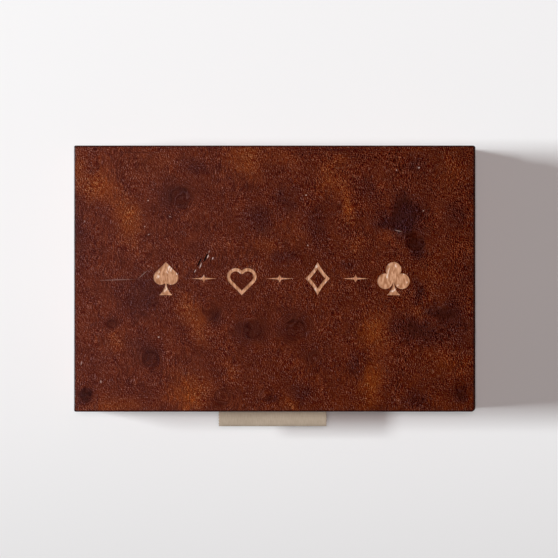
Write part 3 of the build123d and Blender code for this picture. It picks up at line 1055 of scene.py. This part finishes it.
def ribbon_points():
    """Front and back of the cloth, row by row along the fold."""
    middle = (ribbon_low.x + ribbon_high.x) / 2
    half = (ribbon_high.x - ribbon_low.x) / 2
    columns = crowded(1.0, ribbon_columns)
    fronts, backs = [], []
    travelled = 0.0
    for index, (y, z) in enumerate(fold):
        before, after = fold[max(index - 1, 0)], fold[min(index + 1, len(fold) - 1)]
        along = Vector((0, after[0] - before[0], after[1] - before[1])).normalized()
        out = Vector((0, along.z, -along.y))
        travelled += math.dist(before, (y, z))
        dip = 0.5 - 0.5 * math.cos(2 * math.pi * travelled / rib_gap)
        for share in columns:
            selvedge = abs(share) ** selvedge_power
            depth = left_wave if share < 0 else right_wave
            x = middle + share * (half - selvedge * depth * dip)
            half_thick = (thread_half - rib_depth * dip) * (1 - selvedge_thinner * selvedge)
            spot = Vector((x, y, z))
            fronts.append(tuple(spot + out * half_thick))
            backs.append(tuple(spot - out * half_thick))
    return fronts + backs, len(columns)


points, columns_across = ribbon_points()
print("the ribbon has", len(fold), "rows of", columns_across, "points")

# %% [markdown]
# The finish of the ribbon
#
# Grosgrain shines a little along its ribs. Its colour is a warm taupe that changes a little from
# thread to thread. The dark lines between the ribs need no paint, since the ribs are real.

# %% Put on the grosgrain
ribbon_light = colour("#B2A28F")
ribbon_dark = colour("#8F7F6C")
warp_squeeze = (1.0, 0.15, 0.15)
warp_size, warp_share, warp_depth = 0.3, 0.9, 0.04
worn_size, worn_share = 6, 0.6
ribbon_start = 0.75


def grosgrain_finish():
    """Taupe threads across the ribs, with softer places a few millimetres wide."""
    material, shader, place = start_finish("grosgrain")
    warp = noise(vector("MULTIPLY", place, warp_squeeze), warp_size)
    worn = noise(place, worn_size)
    share = ribbon_start + (warp - noise_middle) * warp_share
    share = share + (worn - noise_middle) * worn_share
    feed(shader, "Base Color", mixed(clamped(share), ribbon_dark, ribbon_light))
    feed(shader, "Normal", relief(warp, warp_depth))
    hold(shader, {"Roughness": 0.7, "Specular IOR Level": 0.25})
    hold(shader, {"Sheen Weight": 0.15, "Sheen Roughness": 0.4})
    return material


ribbon_faces = closed_grid_faces(columns_across, len(fold))
ribbon = make_piece("grosgrain_pull", points, ribbon_faces, grosgrain_finish())
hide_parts("ribbon_pull")
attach(ribbon, "lid")
print("the ribbon is", round(ribbon_high.x - ribbon_low.x, 1), "mm wide")

# %% [markdown]
# The stage
#
# The box lies on white paper that runs past the picture's edges. One large face does for it. Its
# colour is plain and pale and a little darker towards the front, and it's written into the paper
# itself, because more light would change the box too. The paper lies a hair under the felt, so
# that two faces never share a place.

# %% The floor
floor_half = 4.0
floor_drop = 0.05 * MM
floor_front, floor_back = -120, 120
paper = [
    (0.0, (0.775, 0.775, 0.775, 1)),
    (0.25, (0.855, 0.855, 0.855, 1)),
    (0.5, (0.9, 0.9, 0.9, 1)),
    (1.0, (0.925, 0.925, 0.925, 1)),
]
turns = [(-1, -1), (1, -1), (1, 1), (-1, 1)]
corners = [(x * floor_half, y * floor_half, -floor_drop) for x, y in turns]
floor_mesh = bpy.data.meshes.new("floor")
floor_mesh.from_pydata(corners, [], [(0, 1, 2, 3)])
floor = bpy.data.objects.new("floor", floor_mesh)
bpy.context.scene.collection.objects.link(floor)

floor_finish, floor_shader, floor_place = start_finish("pale_floor")
floor_y = floor_place.parts()[1]
span = {"Value": floor_y, "From Min": floor_front, "From Max": floor_back}
feed(floor_shader, "Base Color", ramp(floor_y.node("ShaderNodeMapRange", None, span), paper))
hold(floor_shader, {"Roughness": 0.9, "Specular IOR Level": 0.0})
floor_mesh.materials.append(floor_finish)
print("the paper is", 2 * floor_half, "m wide")

# %% [markdown]
# The light
#
# A box photographed for a shop lies on white paper. One broad lamp stands low on the left and a
# little behind the box, and gives the long shadow on the right. The rest falls from straight above.
# A real lamp there would lie as a white sheet in the lacquer, so a photographer keeps it out of the
# reflection with a filter, and here it is hidden from gloss.

# %% Lamps
lamp_distance = 6.0
cool = (0.95, 1.0, 1.02)
warm = (1.1, 0.97, 0.95)


def lamp(name, azimuth, elevation, width, height, share, tint):
    """An area lamp aimed at the box, with the power that makes white paper share as bright as white."""
    light = bpy.data.lights.new(name, "AREA")
    light.shape = "RECTANGLE"
    light.size = width
    light.size_y = height
    light.energy = share * math.pi**2 * lamp_distance**2 / math.sin(math.radians(elevation))
    light.color = tint
    holder = bpy.data.objects.new(name, light)
    flat = math.cos(math.radians(elevation))
    towards = Vector((
        flat * math.cos(math.radians(azimuth)),
        flat * math.sin(math.radians(azimuth)),
        math.sin(math.radians(elevation)),
    ))
    holder.location = towards * lamp_distance
    holder.rotation_euler = towards.to_track_quat("Z", "Y").to_euler()
    bpy.context.scene.collection.objects.link(holder)
    print(name, round(light.energy), "W")
    return holder


lamp("key", azimuth=176, elevation=38, width=1.6, height=0.8, share=0.65, tint=cool)
overhead = lamp("overhead", azimuth=92, elevation=88, width=1.0, height=1.0, share=0.305, tint=warm)
overhead.visible_glossy = False

# %% [markdown]
# The sky
#
# Past the paper's edge the eye, and any shiny metal, should find white and not black. The world
# shows them a pale horizon, and the object itself gets no more than a haze from it.

# %% The horizon and the haze
haze = (0.044, 0.039, 0.038, 1)
horizon = [
    (0.0, (0.9, 0.9, 0.9, 1)),
    (0.35, (0.75, 0.75, 0.75, 1)),
    (0.8, (0.1, 0.1, 0.1, 1)),
    (0.9, (0.02, 0.02, 0.02, 1)),
]
world = bpy.data.worlds.new("studio")
bpy.context.scene.world = world
world.use_nodes = True
sky = Field(world.node_tree)
height = sky.node("ShaderNodeTexCoord", output="Generated").parts()[2]
shown = ramp(height, horizon)
path = sky.node("ShaderNodeLightPath", output="Is Camera Ray")
glossy = Field(sky.tree, path.socket.node.outputs["Is Glossy Ray"])
through = Field(sky.tree, path.socket.node.outputs["Is Transmission Ray"])
looked = clamped(path + glossy + through)
feed(world.node_tree.nodes["Background"], "Color", mixed(looked, haze, shown))
print("the haze is", haze[:3], "and the horizon", horizon[0][1][:3])

# %% [markdown]
# The camera
#
# The box is seen from straight above. A wide lens close by would show its walls, so the camera
# stands well away and has a long lens. How long follows from how much it has to see at the height
# of the lid, so that the box fills as much of the picture as it does in the photo.

# %% Set the camera
camera_height = 1.2
view_width = 0.2279
camera_right, camera_back = 0.00174, -0.00016
camera = bpy.data.objects.new("camera", bpy.data.cameras.new("camera"))
camera.location = (camera_right, camera_back, lid_high.z * MM + camera_height)
camera.data.sensor_width = 36.0
camera.data.lens = camera.data.sensor_width * camera_height / view_width
bpy.context.scene.collection.objects.link(camera)
bpy.context.scene.camera = camera
bpy.context.scene.view_settings.view_transform = "Standard"
print("the lens is", round(camera.data.lens, 1), "mm long")
